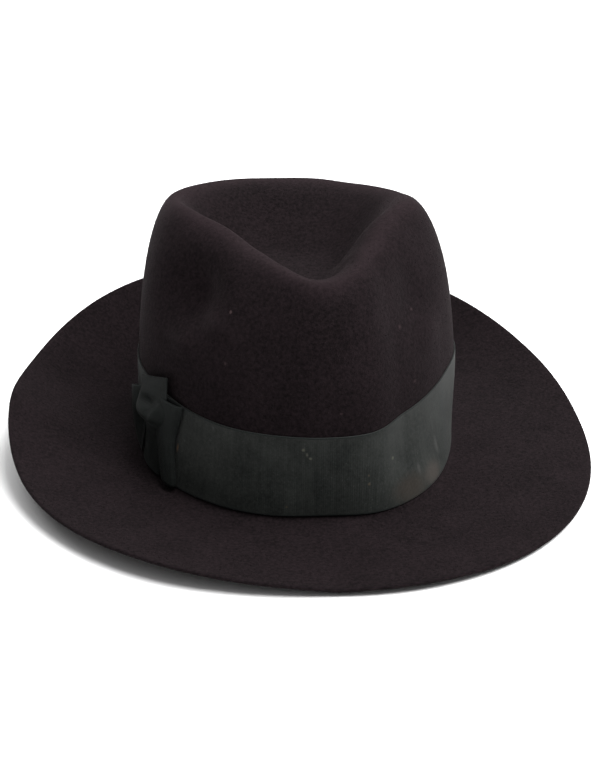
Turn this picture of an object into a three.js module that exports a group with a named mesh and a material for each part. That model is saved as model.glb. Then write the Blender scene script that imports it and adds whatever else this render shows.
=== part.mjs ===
// A man's felt fedora: a pinched crown and a brim in one felt, a ribbon band and a flat bow.
// Millimetres, +Z up. The front faces -Y, and the bow is on the -X side.
import * as THREE from 'three';

// The felt
const headWidth = 165;
const headLength = 199;
const ovalPower = 2.15;
const feltThickness = 2;
const crownHeight = 134;
const sideRise = 5.5;
const breakRadius = 2.5;
const brimWidth = 72;
const brimFlat = 8.6;
const brimCurl = 1.7;

// The hollow in the crown's top, and the two pinches in its front
const dentDepth = 36;
const dentRise = 20;
const dentBack = 5;
const pinchSpan = 34;
const pinchRise = 21;
const pinchDepth = 7;

// The ribbon, and the clearance between pieces that touch
const ribbonWidth = 42;
const ribbonThickness = 1;
const ribbonFoot = breakRadius;
const fitGap = 0.3;

// The bow
const bowAngle = -158;
const knotWidth = 24;
const knotHeight = 53;
const knotPuff = 6.5;
const knotLean = 8;
const frontLoopLength = 21;
const frontLoopPuff = 4.5;
const rearLoopLength = 23;
const rearLoopPuff = 7;
const loopFlare = 3;
const loopDomeShare = 0.3;

// How finely the surfaces are divided
const columns = 72;
const brimRows = 6;
const breakRows = 3;
const ribbonRows = 4;
const wallRows = 10;
const wallPower = 1.2;
const dentRows = 8;
const dentPower = 1.3;
const padColumns = 8;
const loopPadRows = 8;
const knotPadRows = 10;

// One row for each direction round the hat, in degrees: 0 is the wearer's left, -90 the front.
// rise is a share of sideRise, and base, waist and ridge of the head oval's radius there.
// height is a share of crownHeight, full the fullness of the shoulder, width and lift shares
// of brimWidth, and fall the share of the way in over which the dent's flank comes down.
const sectionRows = [
  { angle: -180, rise: 1.00, base: 0.985, waist: 0.990, ridge: 0.660, height: 0.997, full: 3.0, width: 1.000, lift: 0.435, fall: 0.50 },
  { angle: -150, rise: 0.75, base: 1.030, waist: 0.950, ridge: 0.530, height: 0.980, full: 3.0, width: 0.955, lift: 0.170, fall: 0.50 },
  { angle: -120, rise: 0.20, base: 0.990, waist: 0.940, ridge: 0.540, height: 0.940, full: 3.0, width: 0.995, lift: 0.130, fall: 0.55 },
  { angle: -105, rise: 0.00, base: 0.970, waist: 0.930, ridge: 0.630, height: 0.920, full: 3.0, width: 0.990, lift: 0.080, fall: 0.55 },
  { angle: -90, rise: 0.00, base: 0.965, waist: 0.950, ridge: 0.760, height: 0.900, full: 3.0, width: 1.000, lift: 0.032, fall: 0.45 },
  { angle: -75, rise: 0.00, base: 1.010, waist: 0.960, ridge: 0.690, height: 0.910, full: 3.0, width: 0.995, lift: 0.044, fall: 0.60 },
  { angle: -60, rise: 0.20, base: 1.015, waist: 0.890, ridge: 0.580, height: 0.935, full: 3.0, width: 1.010, lift: 0.027, fall: 0.70 },
  { angle: -30, rise: 0.75, base: 0.965, waist: 0.910, ridge: 0.540, height: 0.985, full: 3.0, width: 1.020, lift: 0.020, fall: 0.75 },
  { angle: 0, rise: 1.00, base: 0.960, waist: 1.005, ridge: 0.660, height: 0.995, full: 2.7, width: 1.000, lift: 0.070, fall: 0.75 },
  { angle: 30, rise: 0.75, base: 0.990, waist: 0.980, ridge: 0.740, height: 0.940, full: 2.7, width: 0.965, lift: 0.205, fall: 0.80 },
  { angle: 60, rise: 0.20, base: 1.000, waist: 0.980, ridge: 0.790, height: 0.895, full: 2.8, width: 1.000, lift: 0.440, fall: 0.80 },
  { angle: 75, rise: 0.00, base: 1.000, waist: 0.975, ridge: 0.775, height: 0.900, full: 2.9, width: 0.990, lift: 0.530, fall: 0.78 },
  { angle: 90, rise: 0.00, base: 1.000, waist: 0.970, ridge: 0.760, height: 0.905, full: 3.0, width: 0.975, lift: 0.575, fall: 0.75 },
  { angle: 105, rise: 0.00, base: 1.000, waist: 0.975, ridge: 0.765, height: 0.915, full: 3.0, width: 0.960, lift: 0.580, fall: 0.70 },
  { angle: 120, rise: 0.20, base: 1.000, waist: 0.980, ridge: 0.770, height: 0.930, full: 3.0, width: 0.935, lift: 0.555, fall: 0.65 },
  { angle: 150, rise: 0.75, base: 1.000, waist: 0.980, ridge: 0.775, height: 0.965, full: 3.0, width: 0.900, lift: 0.410, fall: 0.55 },
];

// The pinches: up is a share of crownHeight, span, rise and depth of the named pinch sizes.
const pinchRows = [
  { angle: -140, up: 0.73, span: 1.0, rise: 1.05, depth: 1.0 },
  { angle: -45, up: 0.75, span: 0.8, rise: 0.95, depth: 0.7 },
];

// A loop of the bow from the knot to its free end: along is a share of its length,
// low and high are shares of its width, and puff is a share of its thickness.
const loopRows = [
  { along: 0.00, low: 0.14, high: 0.86, puff: 0.50 },
  { along: 0.30, low: 0.05, high: 0.95, puff: 0.90 },
  { along: 0.65, low: 0.01, high: 0.99, puff: 1.00 },
  { along: 0.92, low: 0.00, high: 1.00, puff: 0.75 },
  { along: 1.00, low: 0.00, high: 1.00, puff: 0.40 },
];

// The knot from its foot to its top: half is a share of half its width, puff of its
// thickness, and lean of the named lean towards the front.
const knotRows = [
  { up: 0.00, half: 0.80, puff: 0.35, lean: -0.50 },
  { up: 0.25, half: 0.72, puff: 0.50, lean: -0.30 },
  { up: 0.50, half: 0.78, puff: 0.80, lean: 0.10 },
  { up: 0.72, half: 0.92, puff: 1.00, lean: 0.55 },
  { up: 0.90, half: 1.00, puff: 0.70, lean: 0.90 },
  { up: 1.00, half: 1.00, puff: 0.30, lean: 1.00 },
];

const degree = Math.PI / 180;

// The value of a column at an angle, on a smooth closed curve through the rows.
function sectionValue(name, angle) {
  const count = sectionRows.length;
  const first = sectionRows[0].angle;
  const turned = first + THREE.MathUtils.euclideanModulo(angle - first, 360);
  let index = count - 1;
  while (sectionRows[index].angle > turned) {
    index -= 1;
  }
  const row = (step) => {
    const place = index + step;
    const turns = Math.floor(place / count);
    const source = sectionRows[place - turns * count];
    return { angle: source.angle + 360 * turns, value: source[name] };
  };
  const before = row(-1);
  const start = row(0);
  const end = row(1);
  const after = row(2);
  const span = end.angle - start.angle;
  const share = (turned - start.angle) / span;
  const startSlope = (end.value - before.value) / (end.angle - before.angle) * span;
  const endSlope = (after.value - start.value) / (after.angle - start.angle) * span;
  const square = share * share;
  const cube = square * share;
  return start.value * (2 * cube - 3 * square + 1)
    + startSlope * (cube - 2 * square + share)
    + end.value * (3 * square - 2 * cube)
    + endSlope * (cube - square);
}

// The value of a column of a short open table, eased from row to row.
function rowValue(rows, key, name, at) {
  let index = 0;
  while (index < rows.length - 2 && rows[index + 1][key] < at) {
    index += 1;
  }
  const start = rows[index];
  const end = rows[index + 1];
  const share = THREE.MathUtils.clamp((at - start[key]) / (end[key] - start[key]), 0, 1);
  return THREE.MathUtils.lerp(start[name], end[name], share);
}

// The outer radius of the head oval.
function ovalRadius(angle) {
  const halfWidth = headWidth / 2 + feltThickness;
  const halfLength = headLength / 2 + feltThickness;
  const across = Math.abs(Math.cos(angle * degree)) / halfWidth;
  const along = Math.abs(Math.sin(angle * degree)) / halfLength;
  return (across ** ovalPower + along ** ovalPower) ** (-1 / ovalPower);
}

// The height of the felt's upper face where the crown meets the brim.
function footHeight(angle) {
  return feltThickness + sideRise * Math.max(0, sectionValue('rise', angle));
}

function basePoint(angle) {
  const radius = ovalRadius(angle) * sectionValue('base', angle);
  return new THREE.Vector3(radius * Math.cos(angle * degree), radius * Math.sin(angle * degree), footHeight(angle));
}

// The level direction straight out from the foot of the crown.
function outward(angle) {
  const step = 0.1;
  const along = basePoint(angle + step).sub(basePoint(angle - step));
  return new THREE.Vector3(along.y, -along.x, 0).normalize();
}

// How far the pinches push the crown's wall in.
function pinchPush(angle, height) {
  let push = 0;
  for (const pinch of pinchRows) {
    const turn = THREE.MathUtils.euclideanModulo(angle - pinch.angle + 180, 360) - 180;
    const aside = turn * degree * ovalRadius(pinch.angle) / (pinchSpan * pinch.span);
    const above = (height - crownHeight * pinch.up) / (pinchRise * pinch.rise);
    push += pinchDepth * pinch.depth * Math.exp(-aside * aside - above * above);
  }
  return push;
}

// A point of the crown's wall, where turn runs from 0 at the foot to 90 degrees at the ridge.
function wallPoint(angle, turn) {
  const oval = ovalRadius(angle);
  const foot = footHeight(angle);
  const top = crownHeight * sectionValue('height', angle);
  const base = oval * sectionValue('base', angle);
  const waist = oval * sectionValue('waist', angle);
  const ridge = oval * sectionValue('ridge', angle);
  const height = foot + (top - foot) * Math.sin(turn * degree) ** (2 / sectionValue('full', angle));
  const climbed = THREE.MathUtils.clamp((height - foot) / (ribbonFoot + ribbonWidth), 0, 1);
  const side = base + (waist - base) * Math.sin(climbed * 90 * degree);
  const radius = ridge + (side - ridge) * Math.cos(turn * degree) - pinchPush(angle, height);
  return new THREE.Vector3(radius * Math.cos(angle * degree), radius * Math.sin(angle * degree), height);
}

// The turn of the wall that lies a given height above its foot.
function wallTurn(angle, above) {
  const rise = crownHeight * sectionValue('height', angle) - footHeight(angle);
  return Math.asin(Math.min(1, above / rise) ** (sectionValue('full', angle) / 2)) / degree;
}

// A point of the hollow in the top, where share runs from 0 at the ridge to 1 in the middle.
function dentPoint(angle, share) {
  const ridge = wallPoint(angle, 90);
  const x = ridge.x * (1 - share);
  const y = ridge.y * (1 - share) - dentBack * share;
  const floor = crownHeight - dentDepth + dentRise * (y / (headLength / 2)) ** 2;
  const fallen = Math.min(1, share / sectionValue('fall', angle));
  const drop = Math.sin(fallen * 90 * degree) ** 2;
  return new THREE.Vector3(x, y, ridge.z + (floor - ridge.z) * drop);
}

// A point of the brim's upper face, a given level distance from the crown.
function brimPoint(angle, distance, reach, lift) {
  const point = basePoint(angle).addScaledVector(outward(angle), distance);
  const curl = Math.max(0, (distance - brimFlat) / (reach - brimFlat));
  point.z += lift * curl ** brimCurl;
  return point;
}

// One column of the felt's upper face, from the brim's edge to the middle of the hollow.
function feltColumn(angle) {
  const width = brimWidth * sectionValue('width', angle);
  const lift = feltThickness + brimWidth * sectionValue('lift', angle) - footHeight(angle);
  const reach = Math.sqrt(width * width - lift * lift);
  const points = [];
  for (let row = 0; row < brimRows; row += 1) {
    const share = 1 - row / brimRows;
    points.push(brimPoint(angle, brimFlat + (reach - brimFlat) * share, reach, lift));
  }
  points.push(brimPoint(angle, brimFlat, reach, lift));
  for (let row = 0; row < breakRows; row += 1) {
    const bend = 90 * degree * row / breakRows;
    const point = basePoint(angle).addScaledVector(outward(angle), breakRadius * (1 - Math.sin(bend)));
    point.z += breakRadius * (1 - Math.cos(bend));
    points.push(point);
  }
  for (let row = 0; row < ribbonRows; row += 1) {
    points.push(wallPoint(angle, wallTurn(angle, ribbonFoot + ribbonWidth * row / ribbonRows)));
  }
  const start = wallTurn(angle, ribbonFoot + ribbonWidth);
  for (let row = 0; row < wallRows; row += 1) {
    points.push(wallPoint(angle, start + (90 - start) * (row / wallRows) ** wallPower));
  }
  for (let row = 0; row < dentRows; row += 1) {
    points.push(dentPoint(angle, (row / dentRows) ** dentPower));
  }
  return points;
}

// Makes a mesh from points and triangles, with its faces' corners shared.
function makeMesh(name, points, triangles, material) {
  const geometry = new THREE.BufferGeometry();
  geometry.setAttribute('position', new THREE.Float32BufferAttribute(points.flatMap((p) => [p.x, p.y, p.z]), 3));
  geometry.setIndex(triangles);
  geometry.computeVertexNormals();
  const mesh = new THREE.Mesh(geometry, material);
  mesh.name = name;
  return mesh;
}

// The felt: its upper face, the same face moved in by the felt's thickness, and the brim's edge.
function makeFelt(material) {
  const upper = [];
  for (let column = 0; column < columns; column += 1) {
    upper.push(...feltColumn(-180 + 360 * column / columns));
  }
  const rows = upper.length / columns;
  const middle = upper.length;
  upper.push(dentPoint(0, 1));
  const at = (column, row) => (column % columns) * rows + row;
  const faces = [];
  for (let column = 0; column < columns; column += 1) {
    for (let row = 0; row < rows - 1; row += 1) {
      faces.push(at(column, row), at(column + 1, row), at(column + 1, row + 1));
      faces.push(at(column, row), at(column + 1, row + 1), at(column, row + 1));
    }
    faces.push(at(column, rows - 1), at(column + 1, rows - 1), middle);
  }
  const skin = makeMesh('skin', upper, faces, material).geometry.getAttribute('normal');
  const flatRows = [brimRows, brimRows + 1];
  const lower = upper.map((point, index) => {
    const normal = new THREE.Vector3().fromBufferAttribute(skin, index);
    if (index !== middle && flatRows.includes(index % rows)) {
      normal.set(0, 0, 1);
    }
    return point.clone().addScaledVector(normal, -feltThickness);
  });
  const count = upper.length;
  const triangles = [...faces];
  for (let face = 0; face < faces.length; face += 3) {
    triangles.push(faces[face] + count, faces[face + 2] + count, faces[face + 1] + count);
  }
  for (let column = 0; column < columns; column += 1) {
    const here = at(column, 0);
    const next = at(column + 1, 0);
    triangles.push(here + count, next + count, next, here + count, next, here);
  }
  return makeMesh('felt_body', [...upper, ...lower], triangles, material);
}

// A point beside the crown's wall: above the foot by a height, and out from the felt by a distance.
function besideWall(angle, above, out) {
  const step = 0.5;
  const point = wallPoint(angle, wallTurn(angle, above));
  const up = wallPoint(angle, wallTurn(angle, above + step)).sub(wallPoint(angle, wallTurn(angle, above - step)));
  const round = wallPoint(angle + step, wallTurn(angle + step, above))
    .sub(wallPoint(angle - step, wallTurn(angle - step, above)));
  return point.addScaledVector(round.cross(up).normalize(), out);
}

// The band: a ring of ribbon round the crown, in columns that match the felt's.
function makeBand(material) {
  const outer = fitGap + ribbonThickness;
  const points = [];
  for (let column = 0; column < columns; column += 1) {
    const angle = -180 + 360 * column / columns;
    for (let row = 0; row <= ribbonRows; row += 1) {
      points.push(besideWall(angle, ribbonFoot + ribbonWidth * row / ribbonRows, outer));
    }
    for (let row = ribbonRows; row >= 0; row -= 1) {
      points.push(besideWall(angle, ribbonFoot + ribbonWidth * row / ribbonRows, fitGap));
    }
  }
  const section = 2 * (ribbonRows + 1);
  const triangles = [];
  for (let column = 0; column < columns; column += 1) {
    for (let row = 0; row < section; row += 1) {
      const here = column * section;
      const next = ((column + 1) % columns) * section;
      const above = (row + 1) % section;
      if (row < ribbonRows) {
        triangles.push(here + row, next + row, next + above, here + row, next + above, here + above);
      } else {
        triangles.push(here + row, next + row, here + above, next + row, next + above, here + above);
      }
    }
  }
  return makeMesh('ribbon_band', points, triangles, material);
}

// A solid lying on the band. place gives, for shares along and up, where a point lies: along the
// band from the bow's middle, its height above the band's foot, and its thickness there.
function makePad(name, rises, place, material) {
  const seat = fitGap + ribbonThickness + fitGap;
  const turnPerLength = 1 / (ovalRadius(bowAngle) * degree);
  const steps = padColumns;
  const points = [];
  for (const isOuter of [true, false]) {
    for (let step = 0; step <= steps; step += 1) {
      for (let rise = 0; rise <= rises; rise += 1) {
        const spot = place(step / steps, rise / rises);
        const angle = bowAngle + spot.along * turnPerLength;
        points.push(besideWall(angle, ribbonFoot + spot.above, seat + (isOuter ? spot.thick : 0)));
      }
    }
  }
  const count = (steps + 1) * (rises + 1);
  const at = (step, rise) => step * (rises + 1) + rise;
  const triangles = [];
  const quad = (a, b, c, d) => triangles.push(a, b, c, a, c, d);
  for (let step = 0; step < steps; step += 1) {
    for (let rise = 0; rise < rises; rise += 1) {
      const a = at(step, rise);
      const b = at(step + 1, rise);
      const c = at(step + 1, rise + 1);
      const d = at(step, rise + 1);
      quad(a, b, c, d);
      quad(a + count, d + count, c + count, b + count);
    }
  }
  for (let step = 0; step < steps; step += 1) {
    quad(at(step + 1, 0), at(step, 0), at(step, 0) + count, at(step + 1, 0) + count);
    quad(at(step, rises), at(step + 1, rises), at(step + 1, rises) + count, at(step, rises) + count);
  }
  for (let rise = 0; rise < rises; rise += 1) {
    quad(at(0, rise), at(0, rise + 1), at(0, rise + 1) + count, at(0, rise) + count);
    quad(at(steps, rise + 1), at(steps, rise), at(steps, rise) + count, at(steps, rise + 1) + count);
  }
  return makeMesh(name, points, triangles, material);
}

// The knot's outline at a share of its height.
function knotSection(up) {
  return {
    half: knotWidth / 2 * rowValue(knotRows, 'up', 'half', up),
    puff: knotPuff * rowValue(knotRows, 'up', 'puff', up),
    middle: knotLean * rowValue(knotRows, 'up', 'lean', up),
  };
}

function makeKnot(material) {
  const place = (across, up) => {
    const section = knotSection(up);
    const dome = Math.sin(across * 180 * degree);
    return {
      along: section.middle + section.half * (2 * across - 1),
      above: knotHeight * up,
      thick: ribbonThickness + (section.puff - ribbonThickness) * dome,
    };
  };
  return makePad('bow_knot', knotPadRows, place, material);
}

// A loop of the bow: side is 1 for the front one and -1 for the rear one.
function makeLoop(name, side, length, puff, material) {
  const loopWidth = ribbonWidth + loopFlare;
  const place = (share, up) => {
    const along = side > 0 ? share : 1 - share;
    const low = loopWidth * rowValue(loopRows, 'along', 'low', along);
    const high = loopWidth * rowValue(loopRows, 'along', 'high', along);
    const above = low + (high - low) * up - loopFlare / 2;
    const section = knotSection(THREE.MathUtils.clamp(above / knotHeight, 0, 1));
    const start = side * section.middle + section.half + fitGap;
    const end = knotWidth / 2 + length;
    const dome = 1 - loopDomeShare + loopDomeShare * Math.sin(up * 180 * degree);
    return {
      along: side * (start + (end - start) * along),
      above,
      thick: ribbonThickness + (puff - ribbonThickness) * dome * rowValue(loopRows, 'along', 'puff', along),
    };
  };
  return makePad(name, loopPadRows, place, material);
}

const felt = new THREE.MeshStandardMaterial({ color: '#2a2527', roughness: 0.95, metalness: 0 });
const ribbon = new THREE.MeshStandardMaterial({ color: '#262b2b', roughness: 0.7, metalness: 0 });

const hat = new THREE.Group();
hat.add(makeFelt(felt));
hat.add(makeBand(ribbon));
hat.add(makeLoop('bow_front_loop', 1, frontLoopLength, frontLoopPuff, ribbon));
hat.add(makeLoop('bow_rear_loop', -1, rearLoopLength, rearLoopPuff, ribbon));
hat.add(makeKnot(ribbon));

// The origin is the middle of the hat's own box, at the height of what it rests on.
const box = new THREE.Box3().setFromObject(hat);
const middle = box.getCenter(new THREE.Vector3());
hat.position.set(-middle.x, -middle.y, -box.min.z);

const part = new THREE.Group();
part.add(hat);

export default part;
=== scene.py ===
"""A pinched fur felt fedora with a grosgrain band and a flat bow, resting on a pale floor."""

import logging
import math
from collections.abc import Sequence
from dataclasses import dataclass, field
from enum import Enum
from typing import Any

import bpy
import numpy as np
from mathutils import Matrix, Vector


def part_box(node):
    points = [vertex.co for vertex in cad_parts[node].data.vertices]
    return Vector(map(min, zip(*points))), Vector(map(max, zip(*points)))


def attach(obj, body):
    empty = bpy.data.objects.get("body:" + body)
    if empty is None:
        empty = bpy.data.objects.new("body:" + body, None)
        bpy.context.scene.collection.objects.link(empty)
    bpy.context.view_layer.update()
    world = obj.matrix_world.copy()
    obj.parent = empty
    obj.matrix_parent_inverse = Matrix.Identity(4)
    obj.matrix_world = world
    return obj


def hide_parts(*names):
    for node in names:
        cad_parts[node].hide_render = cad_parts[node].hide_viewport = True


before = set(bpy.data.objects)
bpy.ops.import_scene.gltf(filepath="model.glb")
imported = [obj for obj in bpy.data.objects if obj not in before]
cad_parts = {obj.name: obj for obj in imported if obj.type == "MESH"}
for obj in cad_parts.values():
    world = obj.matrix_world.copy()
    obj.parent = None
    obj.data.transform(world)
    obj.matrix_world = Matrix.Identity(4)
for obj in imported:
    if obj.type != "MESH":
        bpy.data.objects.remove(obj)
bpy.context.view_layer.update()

LOG = logging.getLogger("fedora")
MM = 0.001
PICTURE_WIDTH = 600
PICTURE_HEIGHT = 765
# The attribute that marks the ridge, where the felt is painted lighter: rubbed wear and a painted highlight.
CREASE = "crease"
RING_POINTS = 721
FINE_RING_POINTS = 1441
# The Mix node's colour sockets share their names with its number sockets, so they go by place.
MIX_SHARE, MIX_FIRST, MIX_SECOND, MIX_RESULT = 0, 6, 7, 2


class Side(Enum):
    """The side of the knot that a loop of the bow lies on, as a sign along the band."""

    FRONT = 1
    REAR = -1


@dataclass(frozen=True)
class Section:
    """One direction round the hat, in degrees: 0 is the wearer's left, -90 the front.

    rise is a share of the side rise, base, waist and ridge of the head oval's radius there,
    height of the crown's height, full the fullness of the shoulder, width and lift shares of
    the brim's width, and fall the share of the way in over which the dent's flank comes down.
    """

    angle: float
    rise: float
    base: float
    waist: float
    ridge: float
    height: float
    full: float
    width: float
    lift: float
    fall: float


SECTIONS = (
    Section(-180, 1.00, 0.985, 0.990, 0.660, 0.997, 3.0, 1.000, 0.435, 0.50),
    Section(-150, 0.75, 1.030, 0.950, 0.530, 0.980, 3.0, 0.955, 0.170, 0.50),
    Section(-120, 0.20, 0.990, 0.940, 0.540, 0.940, 2.7, 0.995, 0.130, 0.55),
    Section(-105, 0.00, 0.970, 0.930, 0.630, 0.920, 2.6, 0.990, 0.080, 0.55),
    Section(-90, 0.00, 0.965, 0.950, 0.760, 0.900, 2.7, 1.000, 0.032, 0.45),
    Section(-75, 0.00, 1.010, 0.960, 0.690, 0.910, 2.7, 0.995, 0.044, 0.60),
    Section(-60, 0.20, 1.015, 0.890, 0.580, 0.935, 2.8, 1.010, 0.027, 0.70),
    Section(-30, 0.75, 0.965, 0.910, 0.540, 0.985, 3.0, 1.020, 0.020, 0.75),
    Section(0, 1.00, 0.960, 1.005, 0.660, 0.995, 2.7, 1.000, 0.070, 0.75),
    Section(30, 0.75, 0.990, 0.980, 0.740, 0.940, 2.7, 0.965, 0.205, 0.80),
    Section(60, 0.20, 1.000, 0.980, 0.790, 0.895, 2.8, 1.000, 0.440, 0.80),
    Section(75, 0.00, 1.000, 0.975, 0.775, 0.900, 2.9, 0.990, 0.530, 0.78),
    Section(90, 0.00, 1.000, 0.970, 0.760, 0.905, 3.0, 0.975, 0.575, 0.75),
    Section(105, 0.00, 1.000, 0.975, 0.765, 0.915, 3.0, 0.960, 0.580, 0.70),
    Section(120, 0.20, 1.000, 0.980, 0.770, 0.930, 3.0, 0.935, 0.555, 0.65),
    Section(150, 0.75, 1.000, 0.980, 0.775, 0.965, 3.0, 0.900, 0.410, 0.55),
)


@dataclass(frozen=True)
class Pinch:
    """A pinch in the crown's front, or a fold beside one, which has a depth below zero.

    angle is its direction in degrees, up its height as a share of the crown's, and span, rise
    and depth are shares of the hat form's sizes for a pinch.
    """

    angle: float
    up: float
    span: float
    rise: float
    depth: float


PINCHES = (
    Pinch(-144, 0.77, 0.75, 0.78, 1.85),
    Pinch(-45, 0.75, 0.80, 0.90, 0.85),
    Pinch(-142, 0.61, 0.38, 0.26, -0.50),
    Pinch(-129, 0.70, 0.35, 0.26, -0.50),
    Pinch(-40, 0.60, 0.45, 0.40, -0.25),
)


def linear(colour: str) -> tuple[float, float, float, float]:
    """Turns an sRGB hex colour into linear values.

    Args:
        colour: six hex digits after a hash sign.

    Returns:
        Red, green, blue and an alpha of 1.
    """
    values = [int(colour[place : place + 2], 16) / 255 for place in (1, 3, 5)]
    flat = [v / 12.92 if v <= 0.04045 else ((v + 0.055) / 1.055) ** 2.4 for v in values]
    return (*flat, 1.0)


def add_node(
    tree: bpy.types.NodeTree, kind: str, inputs: dict[str | int, Any] | None = None, **settings: Any
) -> bpy.types.Node:
    """Adds a node with its settings and links.

    Args:
        tree: the tree that gets the node.
        kind: the node's type.
        inputs: a value or another node's output socket, by input name or number.
        settings: the node's own properties.

    Returns:
        The new node.
    """
    node = tree.nodes.new(kind)
    for name, value in settings.items():
        setattr(node, name, value)
    for name, value in (inputs or {}).items():
        if isinstance(value, bpy.types.NodeSocket):
            tree.links.new(value, node.inputs[name])
        else:
            node.inputs[name].default_value = value
    return node


def new_material(name: str) -> tuple[bpy.types.Material, bpy.types.NodeTree]:
    """Makes an empty node material.

    Args:
        name: the real material's name.

    Returns:
        The material and its node tree.
    """
    material = bpy.data.materials.new(name)
    material.use_nodes = True
    material.node_tree.nodes.clear()
    return material, material.node_tree


def new_piece(
    name: str, points: np.ndarray, faces: list[tuple[int, ...]], uv: np.ndarray | None = None
) -> bpy.types.Object:
    """Makes a mesh object with smooth faces.

    Args:
        name: the piece's name.
        points: the vertices, in metres.
        faces: the corners of each face.
        uv: a flat place for each vertex, in metres.

    Returns:
        The new object, linked to the scene.
    """
    mesh = bpy.data.meshes.new(name)
    mesh.from_pydata(points.reshape(-1, 3), [], faces)
    mesh.polygons.foreach_set("use_smooth", np.ones(len(mesh.polygons), bool))
    if uv is not None:
        corners = np.empty(len(mesh.loops), np.int32)
        mesh.loops.foreach_get("vertex_index", corners)
        layer = mesh.uv_layers.new(name="ribbon")
        layer.uv.foreach_set("vector", uv.reshape(-1, 2)[corners].astype(np.float32).ravel())
    mesh.validate()
    piece = bpy.data.objects.new(name, mesh)
    bpy.context.scene.collection.objects.link(piece)
    return piece


def grid_faces(rows: int, columns: int, closed: bool) -> list[tuple[int, int, int, int]]:
    """Lists the faces of a grid of points.

    Args:
        rows: how many rows of points there are.
        columns: how many points a row has.
        closed: whether a row's last point joins its first.

    Returns:
        Four corners for each face.
    """
    faces = []
    for row in range(rows - 1):
        for column in range(columns if closed else columns - 1):
            here = row * columns + column
            beside = row * columns + (column + 1) % columns
            faces.append((here, beside, beside + columns, here + columns))
    return faces


def apply_modifiers(piece: bpy.types.Object) -> None:
    """Turns a piece's evaluated shape into its plain mesh, and removes its modifiers.

    Args:
        piece: the object to settle.
    """
    graph = bpy.context.evaluated_depsgraph_get()
    before = piece.data
    name = before.name
    settled = piece.evaluated_get(graph)
    made = bpy.data.meshes.new_from_object(settled, preserve_all_data_layers=True, depsgraph=graph)
    piece.modifiers.clear()
    piece.data = made
    bpy.data.meshes.remove(before)
    made.name = name


def run_nodes(piece: bpy.types.Object, tree: bpy.types.NodeTree, values: dict[str, Any]) -> None:
    """Adds a Geometry Nodes modifier with its inputs set by their identifiers.

    Args:
        piece: the object that the tree works on.
        tree: the node tree.
        values: a value for each named input.
    """
    modifier = piece.modifiers.new(tree.name, "NODES")
    modifier.node_group = tree
    sockets = [item for item in tree.interface.items_tree if item.item_type == "SOCKET"]
    named = {socket.name: socket.identifier for socket in sockets if socket.in_out == "INPUT"}
    for name, value in values.items():
        modifier[named[name]] = value


def new_tree(name: str, sizes: Sequence[str]) -> tuple[bpy.types.NodeTree, bpy.types.Node]:
    """Starts a Geometry Nodes tree that takes some sizes and a material.

    Args:
        name: the tree's name.
        sizes: the names of its number inputs.

    Returns:
        The tree and its input node.
    """
    tree = bpy.data.node_groups.new(name, "GeometryNodeTree")
    tree.interface.new_socket("Geometry", in_out="INPUT", socket_type="NodeSocketGeometry")
    for label in sizes:
        tree.interface.new_socket(label, in_out="INPUT", socket_type="NodeSocketFloat")
    tree.interface.new_socket("Material", in_out="INPUT", socket_type="NodeSocketMaterial")
    tree.interface.new_socket("Geometry", in_out="OUTPUT", socket_type="NodeSocketGeometry")
    return tree, add_node(tree, "NodeGroupInput")


def end_tree(tree: bpy.types.NodeTree, geometry: bpy.types.NodeSocket, given: bpy.types.Node) -> None:
    """Ends a tree with Realize Instances and Set Material.

    Args:
        tree: the tree to end.
        geometry: the geometry made so far.
        given: the tree's input node.
    """
    real = add_node(tree, "GeometryNodeRealizeInstances", {"Geometry": geometry})
    material = given.outputs["Material"]
    dressed = add_node(tree, "GeometryNodeSetMaterial", {"Geometry": real.outputs[0], "Material": material})
    add_node(tree, "NodeGroupOutput", {"Geometry": dressed.outputs[0]})


def push_face(tree: bpy.types.NodeTree, given: bpy.types.Node, shares: list[bpy.types.NodeSocket]) -> None:
    """Ends a tree that moves a surface along its normals.

    Args:
        tree: the tree to end.
        given: the tree's input node.
        shares: the numbers whose product is the distance, in metres.
    """
    offset = add_node(tree, "GeometryNodeInputNormal").outputs[0]
    for share in shares:
        scaled = add_node(tree, "ShaderNodeVectorMath", {0: offset, "Scale": share}, operation="SCALE")
        offset = scaled.outputs[0]
    face = given.outputs["Geometry"]
    moved = add_node(tree, "GeometryNodeSetPosition", {"Geometry": face, "Offset": offset})
    end_tree(tree, moved.outputs[0], given)


def smooth_curve(places: Sequence[float], values: Sequence[float], at: np.ndarray) -> np.ndarray:
    """Reads a table on a smooth curve through its values.

    Args:
        places: where the values stand, rising.
        values: the values.
        at: where the curve is read.

    Returns:
        The curve's values.
    """
    places, values = np.asarray(places, float), np.asarray(values, float)
    slopes = np.zeros_like(values)
    slopes[1:-1] = (values[2:] - values[:-2]) / (places[2:] - places[:-2])
    left = np.clip(np.searchsorted(places, at, side="right") - 1, 0, len(places) - 2)
    span = places[left + 1] - places[left]
    share = (at - places[left]) / span
    square, cube = share**2, share**3
    return (
        values[left] * (2 * cube - 3 * square + 1)
        + slopes[left] * span * (cube - 2 * square + share)
        + values[left + 1] * (3 * square - 2 * cube)
        + slopes[left + 1] * span * (cube - square)
    )


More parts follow.
